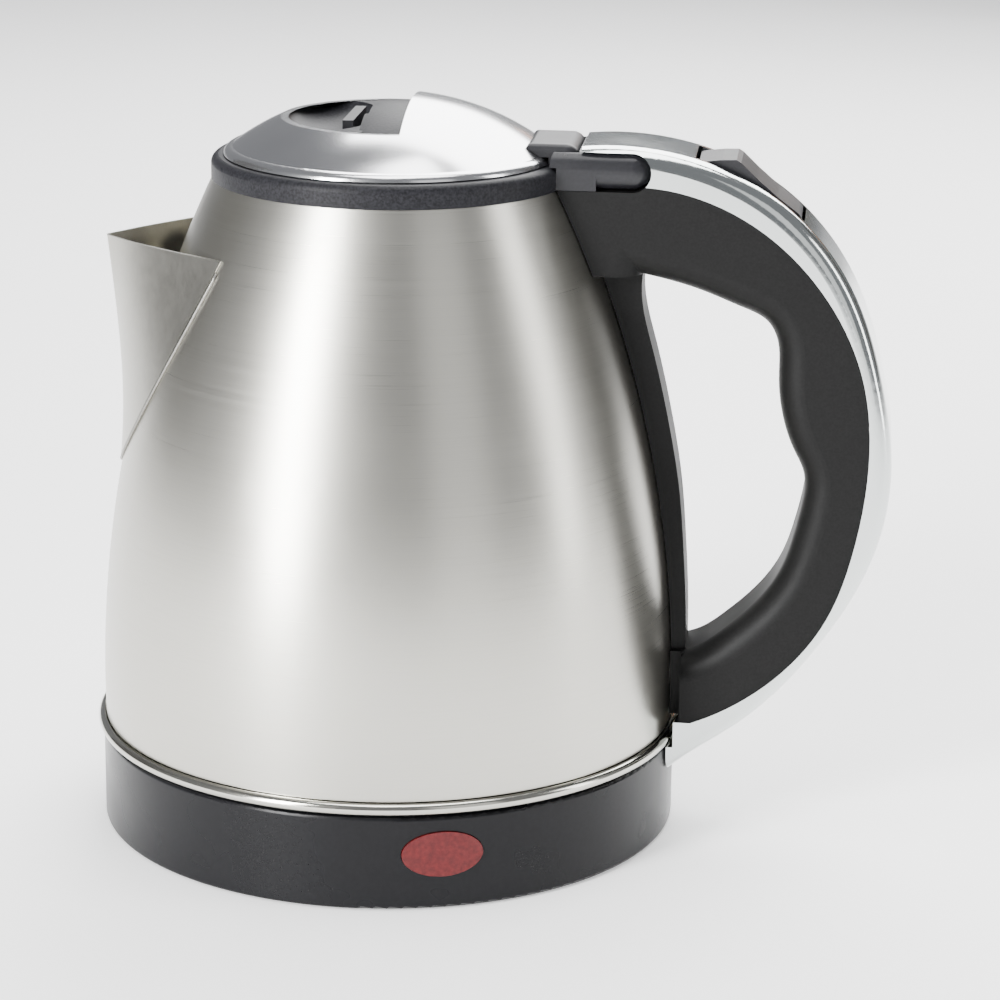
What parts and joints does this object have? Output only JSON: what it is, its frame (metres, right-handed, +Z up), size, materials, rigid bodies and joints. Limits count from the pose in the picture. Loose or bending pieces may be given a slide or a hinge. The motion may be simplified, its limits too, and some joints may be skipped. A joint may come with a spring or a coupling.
{
  "type": "electric kettle",
  "caption": "Cordless steel jug kettle off its power base: hinged latched dome lid, V spout, hollow handle with rocker switch, heater and connector socket under the vessel",
  "frame": {"origin": "on the vessel's axis, in the plane of the bottom rim that the kettle rests on", "axes": "+Z up; +X towards the handle, -X towards the spout; +Y to the left seen from the spout side"},
  "size_m": [0.212, 0.1578, 0.1955],
  "materials": {
    "brushed_shell": "fine brushing around the axis, satin",
    "polished_steel": "mirror polished",
    "plain_steel": "pressed sheet, as rolled",
    "spring_steel": "bright wire",
    "trim_chrome": "chromed plastic, bright",
    "black_plastic": "satin moulding",
    "grip_plastic": "matt moulding",
    "grey_plastic": "satin, fine texture",
    "white_plastic": "matt moulding",
    "phenolic": "heat-proof moulding",
    "lens_red": "clear red moulding",
    "lamp_glass": "clear glass",
    "aluminium": "cast plate",
    "element_tube": "dull tube",
    "contact_brass": "bright turned",
    "bimetal": "rolled strip",
    "silicone": "translucent white",
    "wire_sleeve": "glass-fibre sleeve"
  },
  "bodies": {
    "kettle": {"base_housing": "black_plastic", "base_screws": "plain_steel", "base_studs": "plain_steel", "body_shell": "brushed_shell", "bottom_pan": "polished_steel", "centre_contact": "contact_brass", "collar_ring": "grey_plastic", "contact_leaves": "contact_brass", "control_body": "phenolic", "control_cover": "phenolic", "control_screws": "plain_steel", "control_studs": "plain_steel", "dry_boil_discs": "bimetal", "earth_ring": "contact_brass", "element_terminals": "plain_steel", "handle_grip": "grip_plastic", "handle_screws": "plain_steel", "handle_trim": "trim_chrome", "heat_spreader": "aluminium", "heating_element": "element_tube", "hinge_pin": "plain_steel", "lamp_holder": "white_plastic", "lamp_lens": "lens_red", "lever_pin": "plain_steel", "lower_bracket": "plain_steel", "neon_lamp": "lamp_glass", "neutral_ring": "contact_brass", "rocker_pin": "plain_steel", "shoulder": "grey_plastic", "spout": "brushed_shell", "steam_disc": "bimetal", "steam_duct": "grip_plastic", "supply_wires": "wire_sleeve", "switch_contacts": "contact_brass", "switch_frame": "white_plastic", "underplate": "black_plastic", "upper_bracket": "plain_steel"},
    "lid": {"lid_cover": "polished_steel", "lid_cup": "grey_plastic", "lid_plug": "black_plastic", "lid_seal": "silicone", "lid_screws": "plain_steel", "lid_knuckle": "grey_plastic", "knuckle_screws": "plain_steel", "latch_spring": "spring_steel", "spring_post": "black_plastic"},
    "latch": {"latch_slider": "grey_plastic"},
    "rocker": {"power_switch": "grey_plastic"},
    "lever": {"contact_lever": "contact_brass"}
  },
  "joints": [
    {"name": "lid_hinge", "type": "hinge", "parent": "kettle", "child": "lid", "pos_m": [0.0466, 0, 0.182], "axis": [0, 1, 0], "range_deg": [0, 78]},
    {"name": "lid_latch", "type": "slide", "parent": "lid", "child": "latch", "axis": [1, 0, 0], "range_m": [0, 0.0036], "stiffness_N_per_m": 300, "springref_m": -0.004},
    {"name": "power_rocker", "type": "hinge", "parent": "kettle", "child": "rocker", "pos_m": [0.092, 0, 0.17], "axis": [0, 1, 0], "range_deg": [0, 8]},
    {"name": "contact_swing", "type": "hinge", "parent": "kettle", "child": "lever", "pos_m": [0.092, 0, 0.1578], "axis": [0, 1, 0], "range_deg": [-8, 0]}
  ],
  "couplings": [
    {"joint": "contact_swing", "follows": "power_rocker", "ratio": -1}
  ]
}
